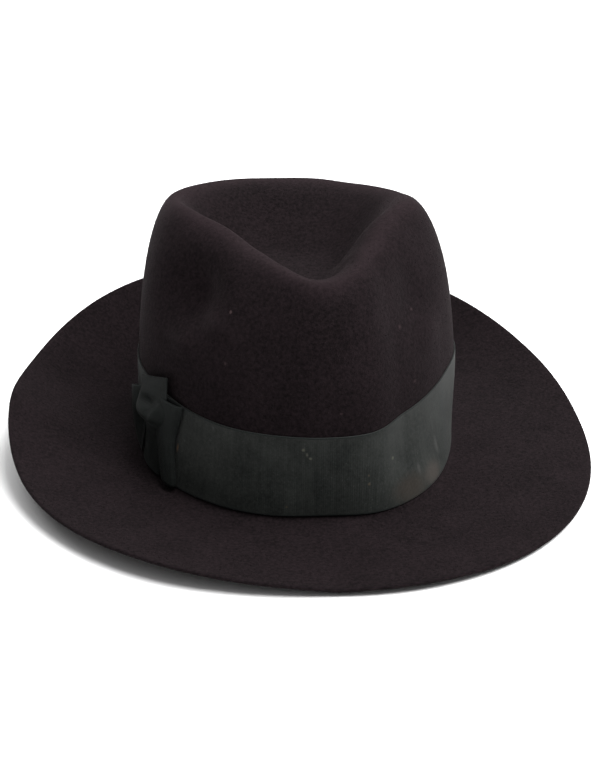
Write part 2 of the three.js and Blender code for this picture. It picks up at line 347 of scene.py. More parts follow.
@dataclass(frozen=True)
class HatForm:
    """The hat's shape as a rule, in millimetres, with the head oval's middle as the origin."""

    head_width: float = 165.0
    head_length: float = 199.0
    oval_power: float = 2.15
    felt: float = 2.0
    crown_height: float = 134.0
    side_rise: float = 5.5
    break_radius: float = 2.5
    brim_width: float = 72.0
    brim_flat: float = 8.6
    brim_curl: float = 1.7
    dent_depth: float = 36.0
    dent_rise: float = 20.0
    dent_back: float = 5.0
    pinch_span: float = 34.0
    pinch_rise: float = 21.0
    pinch_depth: float = 7.0
    ribbon_width: float = 42.0

    def column(self, name: str, angle: np.ndarray) -> np.ndarray:
        """Reads a column of the sections on a smooth closed curve.

        Args:
            name: the column.
            angle: directions in degrees.

        Returns:
            The column's value in each direction.
        """
        places = np.array([s.angle for s in SECTIONS], float)
        values = np.tile([getattr(s, name) for s in SECTIONS], 3)
        turned = (np.asarray(angle, float) + 180) % 360 - 180
        return smooth_curve(np.concatenate([places - 360, places, places + 360]), values, turned)

    def oval(self, angle: np.ndarray) -> np.ndarray:
        """Gives the head oval's outer radius.

        Args:
            angle: directions in degrees.

        Returns:
            The radius in each direction.
        """
        across = np.abs(np.cos(np.radians(angle))) / (self.head_width / 2 + self.felt)
        along = np.abs(np.sin(np.radians(angle))) / (self.head_length / 2 + self.felt)
        return (across**self.oval_power + along**self.oval_power) ** (-1 / self.oval_power)

    def foot(self, angle: np.ndarray) -> np.ndarray:
        """Returns the height of the felt's upper face where the crown meets the brim."""
        return self.felt + self.side_rise * np.maximum(0, self.column("rise", angle))

    @staticmethod
    def polar(angle: np.ndarray, radius: np.ndarray, height: np.ndarray) -> np.ndarray:
        """Returns points from directions, radii and heights."""
        turn = np.radians(angle)
        return np.stack(np.broadcast_arrays(radius * np.cos(turn), radius * np.sin(turn), height), -1)

    def base(self, angle: np.ndarray) -> np.ndarray:
        """Returns the points where the crown meets the brim."""
        return self.polar(angle, self.oval(angle) * self.column("base", angle), self.foot(angle))

    def outward(self, angle: np.ndarray) -> np.ndarray:
        """Finds the level directions straight out from the foot of the crown.

        Args:
            angle: directions in degrees.

        Returns:
            A unit vector for each direction.
        """
        step = 0.1
        along = self.base(angle + step) - self.base(angle - step)
        out = np.stack([along[..., 1], -along[..., 0], np.zeros_like(along[..., 0])], -1)
        return out / np.linalg.norm(out, axis=-1, keepdims=True)

    def pinch_push(self, angle: np.ndarray, height: np.ndarray) -> np.ndarray:
        """Says how far the pinches push the crown's wall in.

        Args:
            angle: directions in degrees.
            height: heights of the wall's points.

        Returns:
            The distance at each point.
        """
        push = np.zeros_like(height)
        for pinch in PINCHES:
            turn = (angle - pinch.angle + 180) % 360 - 180
            aside = np.radians(turn) * self.oval(np.array(pinch.angle)) / (self.pinch_span * pinch.span)
            above = (height - self.crown_height * pinch.up) / (self.pinch_rise * pinch.rise)
            push = push + self.pinch_depth * pinch.depth * np.exp(-(aside**2) - above**2)
        return push

    def wall(self, angle: np.ndarray, turn: np.ndarray) -> np.ndarray:
        """Gives points of the crown's wall.

        Args:
            angle: directions in degrees.
            turn: from 0 at the foot to 90 degrees at the ridge.

        Returns:
            The points.
        """
        oval, foot = self.oval(angle), self.foot(angle)
        top = self.crown_height * self.column("height", angle)
        base, waist, ridge = (oval * self.column(name, angle) for name in ("base", "waist", "ridge"))
        height = foot + (top - foot) * np.sin(np.radians(turn)) ** (2 / self.column("full", angle))
        climbed = np.clip((height - foot) / (self.break_radius + self.ribbon_width), 0, 1)
        side = base + (waist - base) * np.sin(np.radians(climbed * 90))
        radius = ridge + (side - ridge) * np.cos(np.radians(turn)) - self.pinch_push(angle, height)
        return self.polar(angle, radius, height)

    def wall_turn(self, angle: np.ndarray, above: np.ndarray) -> np.ndarray:
        """Gives the turn of the wall that lies a given height above its foot.

        Args:
            angle: directions in degrees.
            above: heights above the foot.

        Returns:
            The turns in degrees.
        """
        rise = self.crown_height * self.column("height", angle) - self.foot(angle)
        share = np.clip(above / rise, 0, 1)
        return np.degrees(np.arcsin(share ** (self.column("full", angle) / 2)))

    def dent(self, angle: np.ndarray, share: float) -> np.ndarray:
        """Gives points of the hollow in the top.

        Args:
            angle: directions in degrees.
            share: from 0 at the ridge to 1 in the middle.

        Returns:
            The points.
        """
        ridge = self.wall(angle, np.full_like(angle, 90.0))
        x = ridge[..., 0] * (1 - share)
        y = ridge[..., 1] * (1 - share) - self.dent_back * share
        floor = self.crown_height - self.dent_depth + self.dent_rise * (y / (self.head_length / 2)) ** 2
        fallen = np.minimum(1, share / self.column("fall", angle))
        drop = np.sin(np.radians(fallen * 90)) ** 2
        return np.stack([x, y, ridge[..., 2] + (floor - ridge[..., 2]) * drop], -1)

    def brim(self, angle: np.ndarray, share: float) -> np.ndarray:
        """Gives points of the brim's upper face.

        Args:
            angle: directions in degrees.
            share: from 0 where the curl starts to 1 at the edge.

        Returns:
            The points.
        """
        width = self.brim_width * self.column("width", angle)
        lift = self.felt + self.brim_width * self.column("lift", angle) - self.foot(angle)
        reach = np.sqrt(width**2 - lift**2)
        distance = self.brim_flat + (reach - self.brim_flat) * share
        points = self.base(angle) + self.outward(angle) * distance[..., None]
        points[..., 2] += lift * share**self.brim_curl
        return points

    def beside_wall(self, angle: np.ndarray, above: np.ndarray, out: np.ndarray) -> np.ndarray:
        """Gives points beside the crown's wall.

        Args:
            angle: directions in degrees.
            above: heights above the foot.
            out: distances out from the felt.

        Returns:
            The points.
        """
        step = 0.5
        here = self.wall(angle, self.wall_turn(angle, above))
        higher = self.wall(angle, self.wall_turn(angle, above + step))
        lower = self.wall(angle, self.wall_turn(angle, above - step))
        ahead = self.wall(angle + step, self.wall_turn(angle + step, above))
        behind = self.wall(angle - step, self.wall_turn(angle - step, above))
        normal = np.cross(ahead - behind, higher - lower)
        return here + normal / np.linalg.norm(normal, axis=-1, keepdims=True) * np.asarray(out)[..., None]


@dataclass(frozen=True)
class Patch:
    """A fleck or stain on the crown's wall or the band.

    angle is its direction in degrees, above its height over the crown's foot, wide and high
    half its size in millimetres, and strength how much of its colour shows.
    """

    angle: float
    above: float
    wide: float
    high: float
    colour: str
    strength: float


RIBBON_FACE_MM = 1.2
STAIN, SCUFF, STREAK, RUST = "#2c2621", "#443d39", "#3b3b3a", "#55402f"
PALE_DUST, GREY_DUST, TAN_DUST = "#4b4b42", "#383a3a", "#4a4233"
LINT, PALE_LINT = "#32282a", "#4a3c3d"

RIBBON_PATCHES = (
    Patch(-62, 5.0, 15.0, 8.0, STAIN, 0.60),
    Patch(-50, 4.5, 9.0, 6.5, SCUFF, 0.50),
    Patch(-57, 12.0, 1.5, 7.0, STREAK, 0.60),
    Patch(-44, 15.0, 2.0, 9.0, STREAK, 0.60),
    Patch(-96, 35.5, 1.0, 1.1, PALE_DUST, 0.80),
    Patch(-95, 33.0, 0.8, 1.2, PALE_DUST, 0.75),
    Patch(-94, 31.0, 1.0, 0.9, PALE_DUST, 0.75),
    Patch(-68, 24.0, 1.1, 1.1, PALE_DUST, 0.80),
    Patch(-77, 15.5, 0.9, 1.1, TAN_DUST, 0.75),
    Patch(-77, 20.0, 0.7, 0.8, TAN_DUST, 0.65),
    Patch(-125, 39.0, 0.9, 1.0, GREY_DUST, 0.60),
    Patch(-126, 32.0, 0.8, 0.8, GREY_DUST, 0.55),
    Patch(-137, 25.0, 1.0, 1.0, GREY_DUST, 0.60),
    Patch(-101, 5.0, 0.9, 0.8, TAN_DUST, 0.65),
    Patch(-140, 20.0, 1.0, 3.2, RUST, 0.75),
    Patch(-144, 2.0, 1.3, 0.9, TAN_DUST, 0.70),
)

FELT_PATCHES = (
    Patch(-123, 96.5, 1.0, 1.1, PALE_LINT, 0.65),
    Patch(-122, 73.0, 0.9, 1.0, LINT, 0.60),
    Patch(-57, 84.0, 1.5, 1.3, LINT, 0.60),
    Patch(-45, 86.0, 1.3, 1.0, LINT, 0.60),
    Patch(-53, 54.5, 1.3, 0.9, LINT, 0.60),
    Patch(-85, 54.0, 1.1, 0.8, LINT, 0.55),
)


@dataclass(frozen=True)
class Grain:
    """A noise pattern: its blotches' size in millimetres, its detail and roughness, and its weight."""

    size_mm: float
    detail: float = 3.0
    roughness: float = 0.5
    weight: float = 0.0

    def inputs(self, place: bpy.types.NodeSocket) -> dict[str, Any]:
        """Returns what a noise node takes to draw the pattern over the given place."""
        scale = 1 / (self.size_mm * MM)
        return {"Vector": place, "Scale": scale, "Detail": self.detail, "Roughness": self.roughness}


RAGGED = Grain(1.1, roughness=0.7)
RAGGED_RANGE = (1.6, 0.9)


@dataclass(frozen=True)
class Layer:
    """A colour over a cloth's own: it comes in over a range of its pattern, up to its greatest share."""

    pattern: bpy.types.NodeSocket
    span: tuple[float, float]
    colour: str
    most: float = 1.0


def lay_colours(
    tree: bpy.types.NodeTree, under: bpy.types.NodeSocket | tuple[float, ...], layers: list[Layer]
) -> bpy.types.NodeSocket:
    """Lays colours over a cloth's own, one after the other.

    Args:
        tree: the material's tree.
        under: the cloth's own colour.
        layers: the colours that lie over it.

    Returns:
        The colour with all of them on it.
    """
    for layer in layers:
        low, high = layer.span
        share = add_node(
            tree,
            "ShaderNodeMapRange",
            {"Value": layer.pattern, "From Min": low, "From Max": high, "To Max": layer.most},
        )
        laid = add_node(
            tree,
            "ShaderNodeMix",
            {MIX_SHARE: share.outputs["Result"], MIX_FIRST: under, MIX_SECOND: linear(layer.colour)},
            data_type="RGBA",
        )
        under = laid.outputs[MIX_RESULT]
    return under


def lay_patches(
    tree: bpy.types.NodeTree, cloth: bpy.types.NodeSocket, patches: Sequence[tuple[Patch, Vector]]
) -> bpy.types.NodeSocket:
    """Lays ragged flecks and stains over a material's colour.

    Args:
        tree: the material's tree.
        cloth: the colour underneath.
        patches: each patch with its middle, in metres.

    Returns:
        The colour with the patches on it.
    """
    place = add_node(tree, "ShaderNodeTexCoord").outputs["Object"]
    ragged = add_node(tree, "ShaderNodeTexNoise", RAGGED.inputs(place))
    layers = []
    for patch, middle in patches:
        wide, high = 1 / (patch.wide * MM), 1 / (patch.high * MM)
        away = add_node(tree, "ShaderNodeVectorMath", {0: place, 1: middle}, operation="SUBTRACT")
        shares = add_node(
            tree, "ShaderNodeVectorMath", {0: away.outputs[0], 1: (wide, wide, high)}, operation="MULTIPLY"
        )
        reach = add_node(tree, "ShaderNodeVectorMath", {0: shares.outputs[0]}, operation="LENGTH")
        torn = add_node(tree, "ShaderNodeMath", {0: reach.outputs["Value"], 1: ragged.outputs["Fac"]})
        layers.append(Layer(torn.outputs[0], RAGGED_RANGE, patch.colour, patch.strength))
    return lay_colours(tree, cloth, layers)


@dataclass(frozen=True)
class Finish:
    """A real material: how rough and how shiny it is, and how grazing light lifts its colour."""

    roughness: float = 0.9
    specular: float = 0.1
    sheen: float = 0.0
    sheen_roughness: float = 0.5
    nap: str = "#ffffff"

    def face(self, tree: bpy.types.NodeTree) -> dict[str, Any]:
        """Returns the shader's inputs that are the material's own, with its Base Color."""
        raise NotImplementedError

    def build(self, name: str, patches: Sequence[tuple[Patch, Vector]] = ()) -> bpy.types.Material:
        """Makes the material.

        Args:
            name: the material's name.
            patches: the flecks and stains on it.

        Returns:
            The material.
        """
        material, tree = new_material(name)
        face = self.face(tree)
        if patches:
            face["Base Color"] = lay_patches(tree, face["Base Color"], patches)
        face |= {
            "Roughness": self.roughness,
            "Specular IOR Level": self.specular,
            "Sheen Weight": self.sheen,
            "Sheen Roughness": self.sheen_roughness,
            "Sheen Tint": linear(self.nap),
        }
        shader = add_node(tree, "ShaderNodeBsdfPrincipled", face)
        add_node(tree, "ShaderNodeOutputMaterial", {"Surface": shader.outputs[0]})
        return material


@dataclass(frozen=True)
class WhitePaper(Finish):
    """Matt white background paper: almost no shine, so only the hat's soft shadow shows on it."""

    colour: str = "#fafafa"

    def face(self, tree: bpy.types.NodeTree) -> dict[str, Any]:
        """Returns the paper's even colour."""
        return {"Base Color": linear(self.colour)}


@dataclass(frozen=True)
class FurFelt(Finish):
    """Rabbit fur felt, pounced soft: a dead matt body with a fine nap that lights up at grazing angles.

    The ranges say between which values of a pattern its colour or specks come in.
    """

    deep: str = "#0d0a0b"
    pale: str = "#1d1719"
    lint: str = "#362c2e"
    # The lighter colour painted along the ridge: rubbed wear and a painted highlight.
    ridge_wear_and_highlight: str = "#43363a"
    mottle: Grain = Grain(26.0, weight=0.18)
    matting: Grain = Grain(1.7, 4.0, 0.75, 0.82)
    fibre: Grain = Grain(0.6, 4.0, 0.7)
    dye_range: tuple[float, float] = (0.38, 0.62)
    lint_range: tuple[float, float] = (0.62, 0.74)
    lint_share: float = 0.5
    # How much of the ridge's painted highlight and wear colour shows at most.
    ridge_wear_and_highlight_share: float = 0.15
    matting_relief_mm: float = 0.3
    matting_strength: float = 0.7
    fibre_relief_mm: float = 0.15
    fibre_strength: float = 0.5
    # The nap scatters light that grazes it, which draws a soft rim round the crown.
    roughness: float = 0.95
    specular: float = 0.04
    sheen: float = 0.055
    sheen_roughness: float = 0.4
    nap: str = "#a69499"

    def face(self, tree: bpy.types.NodeTree) -> dict[str, Any]:
        """Lays the felt's colours over one another, and raises its matted hair.

        Args:
            tree: the material's tree.

        Returns:
            The shader's colour and normal.
        """
        place = add_node(tree, "ShaderNodeTexCoord").outputs["Object"]
        mottle, matting, fibre = (
            add_node(tree, "ShaderNodeTexNoise", grain.inputs(place)).outputs["Fac"]
            for grain in (self.mottle, self.matting, self.fibre)
        )
        # Uneven dye gives broad soft blotches, and matted hair a fine dark grain on top of them.
        mixed = 0.0
        for pattern, grain in ((mottle, self.mottle), (matting, self.matting)):
            added = add_node(
                tree, "ShaderNodeMath", {0: pattern, 1: grain.weight, 2: mixed}, operation="MULTIPLY_ADD"
            )
            mixed = added.outputs[0]
        # Loose pale hairs catch the light as specks. The felt is painted lighter along the crown's ridge,
        # partly as rubbed wear and partly as a painted highlight on the rounded crease.
        crease = add_node(tree, "ShaderNodeAttribute", attribute_name=CREASE)
        layers = [
            Layer(mixed, self.dye_range, self.pale),
            Layer(fibre, self.lint_range, self.lint, self.lint_share),
            Layer(crease.outputs["Fac"], (0.0, 1.0), self.ridge_wear_and_highlight, self.ridge_wear_and_highlight_share),
        ]
        colour = lay_colours(tree, linear(self.deep), layers)
        matted = add_node(
            tree,
            "ShaderNodeBump",
            {"Height": matting, "Strength": self.matting_strength, "Distance": self.matting_relief_mm * MM},
        )
        haired = add_node(
            tree,
            "ShaderNodeBump",
            {
                "Height": fibre,
                "Strength": self.fibre_strength,
                "Distance": self.fibre_relief_mm * MM,
                "Normal": matted.outputs[0],
            },
        )
        return {"Base Color": colour, "Normal": haired.outputs[0]}


@dataclass(frozen=True)
class Grosgrain(Finish):
    """Rayon grosgrain ribbon: cross ribs under a close warp, with a low dull shine that dust has greyed.

    The ranges say between which values of a pattern its colour or specks come in, and edge_blend
    over which share of the edge its painted shade comes in.
    """

    deep: str = "#0d100f"
    worn: str = "#303230"
    # A darker colour painted along both edges: painted shade.
    edge_shade: str = "#1a1d1c"
    dust: str = "#3a3d38"
    width_mm: float = 42.0
    edge_mm: float = 1.0
    edge_blend: float = 0.4
    haze: Grain = Grain(22.0, 4.0, 0.55, 0.50)
    speckle: Grain = Grain(1.6, 3.0, 0.7, 0.32)
    yarn: Grain = Grain(0.7)
    streak_mm: float = 2.4
    streak_long_mm: float = 45.0
    streak_weight: float = 0.18
    wear_range: tuple[float, float] = (0.33, 0.71)
    dust_range: tuple[float, float] = (0.62, 0.74)
    dust_share: float = 0.6
    yarn_relief_mm: float = 0.12
    yarn_strength: float = 0.35
    # Old rayon keeps only a low dull shine, seen where the band turns away.
    roughness: float = 0.6
    specular: float = 0.10
    sheen: float = 0.04

    def face(self, tree: bpy.types.NodeTree) -> dict[str, Any]:
        """Lays the ribbon's colours over one another, and raises its yarns.

        Args:
            tree: the material's tree.

        Returns:
            The shader's colour and normal.
        """
        flat = add_node(tree, "ShaderNodeUVMap", uv_map="ribbon").outputs[0]
        place = add_node(tree, "ShaderNodeTexCoord").outputs["Object"]
        haze, speckle, yarn = (
            add_node(tree, "ShaderNodeTexNoise", grain.inputs(place)).outputs["Fac"]
            for grain in (self.haze, self.speckle, self.yarn)
        )
        long_way = (1 / (self.streak_mm * MM), 1 / (self.streak_long_mm * MM), 1.0)
        stretched = add_node(tree, "ShaderNodeVectorMath", {0: flat, 1: long_way}, operation="MULTIPLY")
        streak = add_node(
            tree, "ShaderNodeTexNoise", {"Vector": stretched.outputs[0], "Scale": 1.0, "Detail": 3.0}
        )
        # Weather and handling have faded the face in hazes, in specks and in streaks along the ribs.
        mixed = 0.0
        for pattern, weight in (
            (haze, self.haze.weight),
            (speckle, self.speckle.weight),
            (streak.outputs["Fac"], self.streak_weight),
        ):
            added = add_node(
                tree, "ShaderNodeMath", {0: pattern, 1: weight, 2: mixed}, operation="MULTIPLY_ADD"
            )
            mixed = added.outputs[0]
        # Each edge is painted as a narrow darker line: painted shade along the ribbon's edges.
        middle, edge = self.width_mm * MM / 2, self.edge_mm * MM
        across = add_node(tree, "ShaderNodeSeparateXYZ", {0: flat}).outputs["Y"]
        off = add_node(tree, "ShaderNodeMath", {0: across, 1: middle}, operation="SUBTRACT")
        aside = add_node(tree, "ShaderNodeMath", {0: off.outputs[0]}, operation="ABSOLUTE")
        bound = (middle - edge, middle - edge * (1 - self.edge_blend))
        # Dust sits between the yarns as pale specks.
        layers = [
            Layer(mixed, self.wear_range, self.worn),
            Layer(aside.outputs[0], bound, self.edge_shade),
            Layer(yarn, self.dust_range, self.dust, self.dust_share),
        ]
        colour = lay_colours(tree, linear(self.deep), layers)
        bump = add_node(
            tree,
            "ShaderNodeBump",
            {"Height": yarn, "Strength": self.yarn_strength, "Distance": self.yarn_relief_mm * MM},
        )
        return {"Base Color": colour, "Normal": bump.outputs[0]}


# The bow is the same ribbon as the band, in a darker copy of its finish with darker dust and less shine:
# painted shade.
BOW_SHADED_FINISH = Grosgrain(deep="#0d0f0e", worn="#222524", dust="#2b2e2b", specular=0.06, sheen=0.02)


@dataclass
class FeltBody:
    """The crown and brim, one blocked felt with a raw cut edge, and its nap of short hairs.

    wall_crowding and dent_crowding draw the rows together over the band and at the ridge. The
    unevenness comes in between still_below_mm and uneven_above_mm over the floor. nap_facing is
    the lowest slope that still has hairs, hair_lean and hair_turn how far they lean and turn at
    most, in radians, and hair_sizes the range of their sizes.
    """

    form: HatForm
    material: bpy.types.Material
    columns: int = 320
    brim_rows: int = 34
    flat_rows: int = 5
    break_rows: int = 6
    band_rows: int = 12
    wall_rows: int = 42
    dent_rows: int = 38
    edge_rows: int = 4
    edge_round: float = 0.45
    relief_mm: float = 0.3
    relief_size_mm: float = 24.0
    hairs: int = 36000
    hair_mm: float = 0.9
    hair_thick_mm: float = 0.07
    # How far from the ridge its painted highlight and wear reach.
    crease_mm: float = 8.0
    wall_crowding: float = 1.2
    dent_crowding: float = 1.3
    still_below_mm: float = 5.0
    uneven_above_mm: float = 20.0
    nap_facing: float = -0.25
    hair_lean: float = 1.1
    hair_turn: float = 6.28
    hair_sizes: tuple[float, float] = (0.5, 1.3)
    spot_seed: int = 7
    lean_seed: int = 3
    size_seed: int = 11

    def upper_rows(self, angle: np.ndarray) -> np.ndarray:
        """Gives the upper face in rows from the brim's edge to the middle of the dent.

        Args:
            angle: a direction for each column.

        Returns:
            An array of rows, columns and three coordinates, in millimetres.
        """
        form = self.form
        rows = [form.brim(angle, 1 - k / self.brim_rows) for k in range(self.brim_rows)]
        base, out = form.base(angle), form.outward(angle)
        for k in range(self.flat_rows):
            reach = form.break_radius + (form.brim_flat - form.break_radius) * (1 - k / self.flat_rows)
            rows.append(base + out * reach)
        for k in range(self.break_rows):
            bend = math.radians(90 * k / self.break_rows)
            lifted = base + out * form.break_radius * (1 - math.sin(bend))
            lifted[:, 2] += form.break_radius * (1 - math.cos(bend))
            rows.append(lifted)
        for k in range(self.band_rows):
            above = np.full_like(angle, form.break_radius + form.ribbon_width * k / self.band_rows)
            rows.append(form.wall(angle, form.wall_turn(angle, above)))
        start = form.wall_turn(angle, np.full_like(angle, form.break_radius + form.ribbon_width))
        for k in range(self.wall_rows):
            rows.append(form.wall(angle, start + (90 - start) * (k / self.wall_rows) ** self.wall_crowding))
        rows += [form.dent(angle, (k / self.dent_rows) ** self.dent_crowding) for k in range(self.dent_rows)]
        return np.stack(rows)

    def build(self) -> bpy.types.Object:
        """Makes the felt.

        Returns:
            The closed felt piece, with its walls as thick as the felt.
        """
        form = self.form
        angle = -180 + 360 * np.arange(self.columns) / self.columns
        upper = self.upper_rows(angle)
        round_way = np.roll(upper, -1, 1) - np.roll(upper, 1, 1)
        inward = np.gradient(upper, axis=0)
        normal = np.cross(round_way, inward)
        normal /= np.linalg.norm(normal, axis=-1, keepdims=True)
        lower = upper - normal * form.felt
        edge_out = -inward[0] / np.linalg.norm(inward[0], axis=-1, keepdims=True)
        middle, half = (upper[0] + lower[0]) / 2, (upper[0] - lower[0]) / 2
        edge = []
        for k in range(1, self.edge_rows):
            turn = math.pi * k / self.edge_rows
            bulge = edge_out * self.edge_round * form.felt * math.sin(turn)
            edge.append(middle - half * math.cos(turn) + bulge)
        rows = np.concatenate([lower[::-1], np.stack(edge), upper])
        tip = form.dent(np.array([0.0]), 1.0)
        under = tip - np.array([0, 0, form.felt])
        points = np.concatenate([rows.reshape(-1, 3), under, tip])
        count = len(rows)
        faces = grid_faces(count, self.columns, closed=True)
        first, last = count * self.columns, count * self.columns + 1
        for k in range(self.columns):
            beside = (k + 1) % self.columns
            faces.append((beside, k, first))
            top = (count - 1) * self.columns
            faces.append((top + k, top + beside, last))
        piece = new_piece("felt_hat", points * MM, faces)
        self.mark_crease(piece, upper)
        run_nodes(
            piece,
            self.relief_tree(),
            {"Relief": self.relief_mm * MM, "Size": self.relief_size_mm * MM, "Material": self.material},
        )
        apply_modifiers(piece)
        return piece

    def mark_crease(self, piece: bpy.types.Object, upper: np.ndarray) -> None:
        """Writes on each point of the upper face how near it lies to the crown's ridge, where the felt is
        painted lighter: rubbed wear and a painted highlight.

        Args:
            piece: the felt, whose points end with the upper face and the dent's two middle points.
            upper: the upper face in rows.
        """
        ridge = self.brim_rows + self.flat_rows + self.break_rows + self.band_rows + self.wall_rows
        away = np.linalg.norm(upper - upper[ridge], axis=-1)
        near = np.zeros(len(piece.data.vertices), np.float32)
        near[-2 - away.size : -2] = np.exp(-((away / self.crease_mm) ** 2)).ravel()
        piece.data.attributes.new(CREASE, "FLOAT", "POINT").data.foreach_set("value", near)

    def relief_tree(self) -> bpy.types.NodeTree:
        """Makes the tree for the slight unevenness that blocking and wear leave in the felt.

        Returns:
            The node tree.
        """
        tree, given = new_tree("felt_relief", ("Relief", "Size"))
        place = add_node(tree, "GeometryNodeInputPosition").outputs[0]
        scale = add_node(tree, "ShaderNodeMath", {0: 1.0, 1: given.outputs["Size"]}, operation="DIVIDE")
        noise = add_node(
            tree, "ShaderNodeTexNoise", {"Vector": place, "Scale": scale.outputs[0], "Detail": 2.0}
        )
        level = add_node(tree, "ShaderNodeMath", {0: noise.outputs["Fac"], 1: 0.5}, operation="SUBTRACT")
        height = add_node(
            tree, "ShaderNodeMath", {0: level.outputs[0], 1: given.outputs["Relief"]}, operation="MULTIPLY"
        )
        # The part of the brim that rests on the floor stays even.
        heights = add_node(tree, "ShaderNodeSeparateXYZ", {0: place})
        clear = add_node(
            tree,
            "ShaderNodeMapRange",
            {
                "Value": heights.outputs["Z"],
                "From Min": self.still_below_mm * MM,
                "From Max": self.uneven_above_mm * MM,
            },
        )
        push_face(tree, given, [height.outputs[0], clear.outputs["Result"]])
        return tree

    def build_nap(self, felt: bpy.types.Object) -> bpy.types.Object:
        """Makes the nap: short hairs that stand on the felt.

        Args:
            felt: the finished felt.

        Returns:
            The nap as one piece.
        """
        nap = bpy.data.objects.new("felt_nap", felt.data.copy())
        bpy.context.scene.collection.objects.link(nap)
        run_nodes(
            nap,
            self.nap_tree(),
            {
                "Density": self.hairs / sum(p.area for p in felt.data.polygons),
                "Length": self.hair_mm * MM,
                "Thickness": self.hair_thick_mm * MM,
                "Material": self.material,
            },
        )
        apply_modifiers(nap)
        return nap

    def nap_tree(self) -> bpy.types.NodeTree:
        """Makes the tree that scatters hairs over the felt.

        Returns:
            The node tree.
        """
        tree, given = new_tree("felt_nap", ("Density", "Length", "Thickness"))
        normal = add_node(tree, "GeometryNodeInputNormal")
        facing = add_node(tree, "ShaderNodeSeparateXYZ", {0: normal.outputs[0]})
        upward = add_node(
            tree, "ShaderNodeMath", {0: facing.outputs["Z"], 1: self.nap_facing}, operation="GREATER_THAN"
        )
        spots = add_node(
            tree,
            "GeometryNodeDistributePointsOnFaces",
            {
                "Mesh": given.outputs["Geometry"],
                "Selection": upward.outputs[0],
                "Density": given.outputs["Density"],
                "Seed": self.spot_seed,
            },
        )
        hair = add_node(
            tree,
            "GeometryNodeMeshCone",
            {
                "Vertices": 3,
                "Radius Top": 0.0,
                "Radius Bottom": given.outputs["Thickness"],
                "Depth": given.outputs["Length"],
            },
        )
        lowest = (-self.hair_lean, -self.hair_lean, 0.0)
        highest = (self.hair_lean, self.hair_lean, self.hair_turn)
        lean = add_node(
            tree,
            "FunctionNodeRandomValue",
            {0: lowest, 1: highest, "Seed": self.lean_seed},
            data_type="FLOAT_VECTOR",
        )
        turned = add_node(
            tree,
            "FunctionNodeRotateRotation",
            {0: spots.outputs["Rotation"], 1: lean.outputs[0]},
            rotation_space="LOCAL",
        )
        small, large = self.hair_sizes
        size = add_node(
            tree, "FunctionNodeRandomValue", {2: small, 3: large, "Seed": self.size_seed}, data_type="FLOAT"
        )
        placed = add_node(
            tree,
            "GeometryNodeInstanceOnPoints",
            {
                "Points": spots.outputs["Points"],
                "Instance": hair.outputs["Mesh"],
                "Rotation": turned.outputs[0],
                "Scale": size.outputs[1],
            },
        )
        end_tree(tree, placed.outputs[0], given)
        return tree


@dataclass
class RibbonMaker:
    """Turns ribbon surfaces into ribbed grosgrain of the real thickness."""

    material: bpy.types.Material
    width_mm: float = 42.0
    thick_mm: float = 0.6
    rib_mm: float = 0.9
    rib_height_mm: float = 0.04
    selvedge_mm: float = 0.9
    tree: bpy.types.NodeTree | None = field(default=None, init=False)

    def rib_tree(self) -> bpy.types.NodeTree:
        """Makes the tree that raises ribs across a ribbon between its smooth selvedges.

        Returns:
            The node tree.
        """
        sizes = ("Rib", "Height", "Width", "Selvedge")
        tree, given = new_tree("grosgrain_ribs", sizes)
        flat = add_node(
            tree, "GeometryNodeInputNamedAttribute", {"Name": "ribbon"}, data_type="FLOAT_VECTOR"
        )
        parts = add_node(tree, "ShaderNodeSeparateXYZ", {0: flat.outputs[0]})
        # A wave along the ribbon raises the ribs, and it stops at the selvedges on both sides.
        found = {name: given.outputs[name] for name in sizes}
        found |= {"along": parts.outputs["X"], "across": parts.outputs["Y"]}
        for name, first, operation, second in (
            ("ribs", "along", "DIVIDE", "Rib"),
            ("turns", "ribs", "MULTIPLY", math.tau),
            ("wave", "turns", "COSINE", 0.0),
            ("centre", "Width", "MULTIPLY", 0.5),
            ("aside", "across", "SUBTRACT", "centre"),
            ("away", "aside", "ABSOLUTE", 0.0),
            ("inner", "centre", "SUBTRACT", "Selvedge"),
            ("body", "away", "LESS_THAN", "inner"),
            ("ribbed", "wave", "MULTIPLY", "body"),
            ("half", "Height", "MULTIPLY", 0.5),
            ("height", "ribbed", "MULTIPLY", "half"),
        ):
            inputs = {0: found[first], 1: found.get(second, second)}
            found[name] = add_node(tree, "ShaderNodeMath", inputs, operation=operation).outputs[0]
        push_face(tree, given, [found["height"]])
        return tree

    def finish(self, piece: bpy.types.Object) -> None:
        """Ribs a single-layer ribbon and gives it its thickness, outwards from its surface.

        Args:
            piece: the ribbon's surface with its flat place in the map named ribbon.
        """
        if self.tree is None:
            self.tree = self.rib_tree()
        run_nodes(
            piece,
            self.tree,
            {
                "Rib": self.rib_mm * MM,
                "Height": self.rib_height_mm * MM,
                "Width": self.width_mm * MM,
                "Selvedge": self.selvedge_mm * MM,
                "Material": self.material,
            },
        )
        wall = piece.modifiers.new("cloth", "SOLIDIFY")
        wall.thickness = self.thick_mm * MM
        wall.offset = 1.0
        apply_modifiers(piece)


